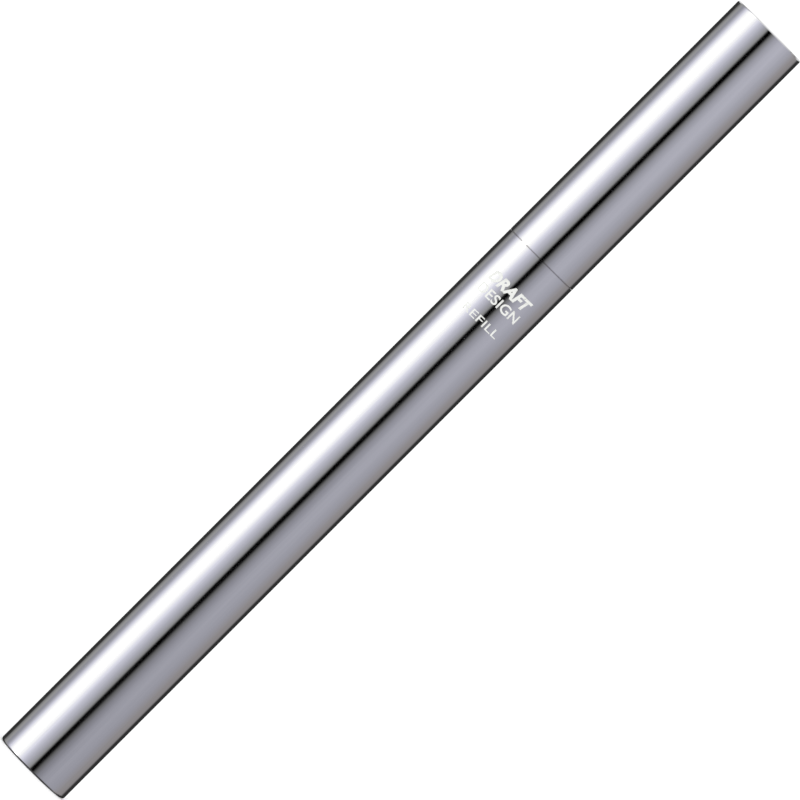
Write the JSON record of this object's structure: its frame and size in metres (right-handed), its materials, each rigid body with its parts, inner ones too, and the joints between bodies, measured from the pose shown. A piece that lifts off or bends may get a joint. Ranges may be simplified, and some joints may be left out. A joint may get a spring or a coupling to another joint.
{
  "type": "refillable drawing pen holder",
  "caption": "Plain polished metal pen holder with a push-on cap, a screw-out grip section and a slim, sprung, replaceable fibre-tip ink refill.",
  "frame": {"origin": "centre of the flat end of the barrel, on which the pen stands", "axes": "+Z along the pen from the barrel's end towards the cap's end; the side that carries the print faces -Y; +X to the right when that side is seen from the front"},
  "size_m": [0.011, 0.011, 0.132],
  "materials": {
    "polished_metal": "polished and clear-lacquered tube, with very fine lines along it",
    "turned_metal": "fine turning marks round the axis",
    "brass": "turned brass, bare",
    "spring_steel": "drawn spring wire",
    "bright_steel": "bright drawn stainless steel",
    "black_plastic": "moulded, fine matt texture",
    "gloss_black_plastic": "moulded, smooth gloss",
    "white_plastic": "moulded, satin",
    "seal_rubber": "soft rubber",
    "ink_fibre": "fibre bundle soaked in black ink",
    "nib_fibre": "bonded fibre, ink stained"
  },
  "bodies": {
    "barrel": {"barrel_tube": "polished_metal", "barrel_end_disc": "turned_metal", "barrel_tail_plug": "black_plastic", "barrel_thread_bush": "brass", "refill_spring": "spring_steel"},
    "washer": {"section_washer": "seal_rubber"},
    "section": {"section_ferrule": "brass", "section_body": "turned_metal", "section_guide_bush": "black_plastic"},
    "refill": {"refill_tube": "white_plastic", "ink_reservoir": "ink_fibre", "refill_nose": "gloss_black_plastic", "refill_tail_plug": "white_plastic", "nib_sleeve": "bright_steel", "nib": "nib_fibre"},
    "grip_ring": {"cap_grip_ring": "spring_steel"},
    "cap": {"cap_tube": "polished_metal", "cap_end_disc": "turned_metal", "cap_top_plug": "black_plastic", "cap_liner": "white_plastic", "cap_mouth_bush": "bright_steel", "inner_cap_spring": "spring_steel"},
    "inner_cap": {"inner_cap": "white_plastic", "inner_cap_seal": "seal_rubber"}
  },
  "joints": [
    {"name": "section_advance", "type": "slide", "parent": "barrel", "child": "washer", "axis": [0, 0, 1], "range_m": [0, 0.005], "deforming": ["refill_spring"]},
    {"name": "section_turn", "type": "hinge", "parent": "washer", "child": "section", "pos_m": [0, 0, 0.0906], "axis": [0, 0, 1], "range_deg": [0, 1801]},
    {"name": "refill_float", "type": "slide", "parent": "section", "child": "refill", "axis": [0, 0, 1], "range_m": [-0.0015, 0], "stiffness_N_per_m": 300, "springref_m": 0.0042, "deforming": ["refill_spring"]},
    {"name": "cap_slide", "type": "slide", "parent": "section", "child": "grip_ring", "axis": [0, 0, 1], "range_m": [0, 0.045]},
    {"name": "cap_turn", "type": "hinge", "parent": "grip_ring", "child": "cap", "pos_m": [0, 0, 0.09345], "axis": [0, 0, 1], "continuous": true},
    {"name": "inner_cap_float", "type": "slide", "parent": "cap", "child": "inner_cap", "axis": [0, 0, 1], "range_m": [0, 0.0012], "stiffness_N_per_m": 150, "springref_m": -0.004, "deforming": ["inner_cap_spring"]}
  ],
  "couplings": [
    {"joint": "section_turn", "follows": "section_advance", "rad_per_m": 6283.2}
  ]
}
